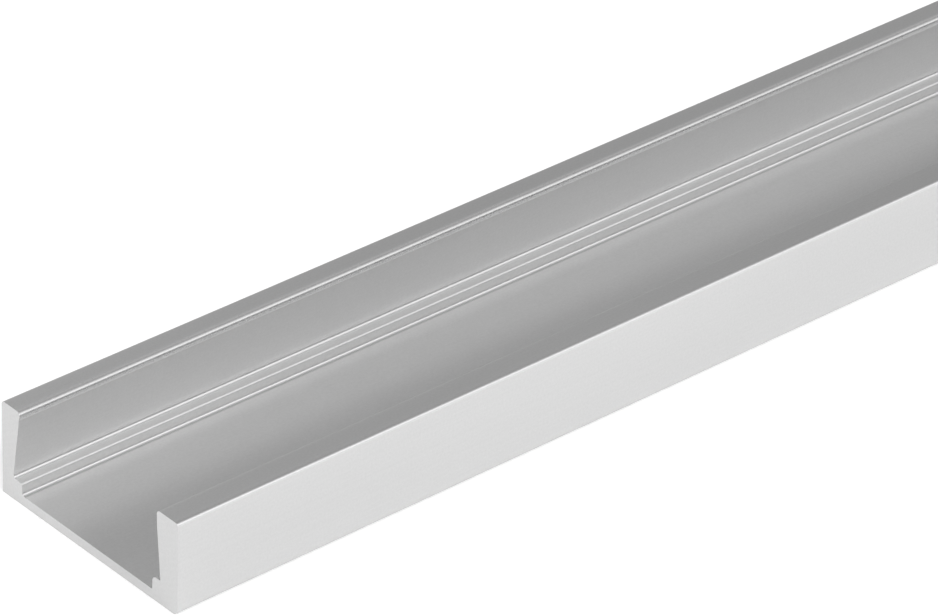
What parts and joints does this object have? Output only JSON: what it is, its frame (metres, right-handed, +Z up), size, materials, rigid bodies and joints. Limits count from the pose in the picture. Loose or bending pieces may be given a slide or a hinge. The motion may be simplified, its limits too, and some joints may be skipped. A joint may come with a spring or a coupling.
{
  "type": "aluminium led profile",
  "caption": "Length of flat U-shaped extruded channel with lipped, leaning side walls and inner ledges, to carry an LED strip and a clip-in cover.",
  "frame": {"origin": "middle of the underside, at half the length and half the width", "axes": "+X along the stock, +Y towards the far wall, +Z up out of the open channel"},
  "size_m": [1, 0.018, 0.007],
  "materials": {
    "anodised_aluminium": "clear satin anodised, fine lines along the stock, fine saw marks on the cut ends"
  },
  "bodies": {
    "root": {"led_profile": "anodised_aluminium"}
  },
  "joints": []
}
